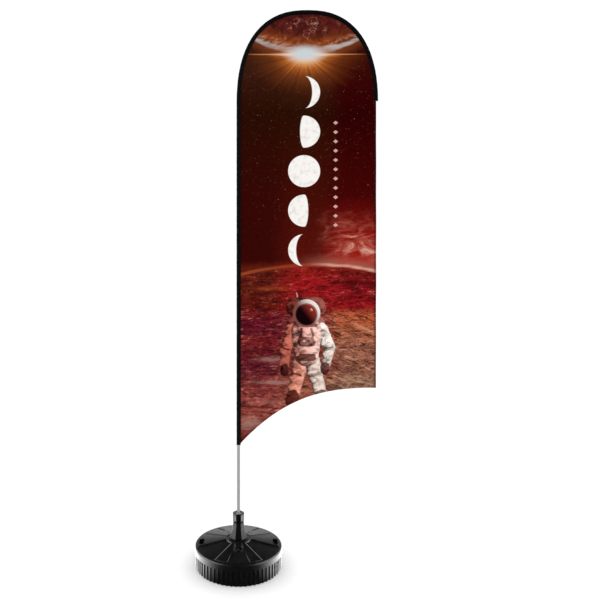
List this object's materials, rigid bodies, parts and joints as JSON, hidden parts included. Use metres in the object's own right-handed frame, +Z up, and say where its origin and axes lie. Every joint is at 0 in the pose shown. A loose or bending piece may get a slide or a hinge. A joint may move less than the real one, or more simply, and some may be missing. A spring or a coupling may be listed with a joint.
{
  "type": "flying banner",
  "caption": "Tall cloth flag with an arched top and a hollow-cut lower edge, on a bent pole in a round fillable base with a turning octagonal head.",
  "frame": {"origin": "centre of the tank's flat underside, on the pole's axis", "axes": "+Z up along the pole, +X towards the flag's free edge, -Y out of the flag's printed face"},
  "size_m": [0.9259, 0.44, 2.8014],
  "materials": {
    "black_plastic": "satin moulded black plastic",
    "nut_plastic": "satin moulded black plastic, a little darker",
    "bush_plastic": "natural low-friction plastic",
    "collet_plastic": "pale grey plastic",
    "gasket_rubber": "matt black rubber",
    "steel": "zinc-plated steel",
    "pole_aluminium": "satin anodised aluminium",
    "ring_plastic": "warm grey plastic",
    "glass_fibre": "dark pultruded glass fibre",
    "sleeve_cloth": "black woven polyester",
    "flag_cloth": "printed warp-knitted polyester, dark red and brown"
  },
  "bodies": {
    "tank": {"tank_bottom": "black_plastic", "tank_top": "black_plastic", "socket_tube": "black_plastic", "upper_bush": "bush_plastic", "lower_bush": "bush_plastic", "thrust_pad": "bush_plastic"},
    "cap_seal": {"fill_gasket": "gasket_rubber"},
    "cap": {"fill_cap": "nut_plastic"},
    "rotor": {"turret": "black_plastic", "spindle_tube": "steel", "spindle_plug": "bush_plastic", "collet": "collet_plastic"},
    "washer": {"slip_washer": "steel"},
    "nut": {"lock_nut": "nut_plastic"},
    "mast": {"pole_foot_plug": "bush_plastic", "pole_lower": "pole_aluminium", "pole_lower_ferrule": "steel", "pole_middle": "glass_fibre", "pole_middle_ferrule": "steel", "pole_tip_rod": "glass_fibre", "pole_tip_cap": "ring_plastic", "sleeve_stop_ring": "ring_plastic", "flag_panel": "flag_cloth", "pole_sleeve": "sleeve_cloth", "sleeve_tip_pocket": "sleeve_cloth"}
  },
  "joints": [
    {"name": "head_spin", "type": "hinge", "parent": "tank", "child": "rotor", "pos_m": [0, 0, 0.14], "axis": [0, 0, 1], "continuous": true},
    {"name": "pole_lift", "type": "slide", "parent": "rotor", "child": "mast", "axis": [0, 0, 1], "range_m": [0, 0.25]},
    {"name": "nut_rise", "type": "slide", "parent": "rotor", "child": "washer", "axis": [0, 0, 1], "range_m": [0, 0.027]},
    {"name": "nut_turn", "type": "hinge", "parent": "washer", "child": "nut", "pos_m": [0, 0, 0.242], "axis": [0, 0, 1], "range_deg": [0, 3240.5]},
    {"name": "cap_rise", "type": "slide", "parent": "tank", "child": "cap_seal", "axis": [0, 0, 1], "range_m": [0, 0.014]},
    {"name": "cap_turn", "type": "hinge", "parent": "cap_seal", "child": "cap", "pos_m": [0, -0.105, 0.125], "axis": [0, 0, 1], "range_deg": [0, 1260.5]}
  ],
  "couplings": [
    {"joint": "nut_turn", "follows": "nut_rise", "rad_per_m": 2094.4},
    {"joint": "cap_turn", "follows": "cap_rise", "rad_per_m": 1570.8}
  ]
}
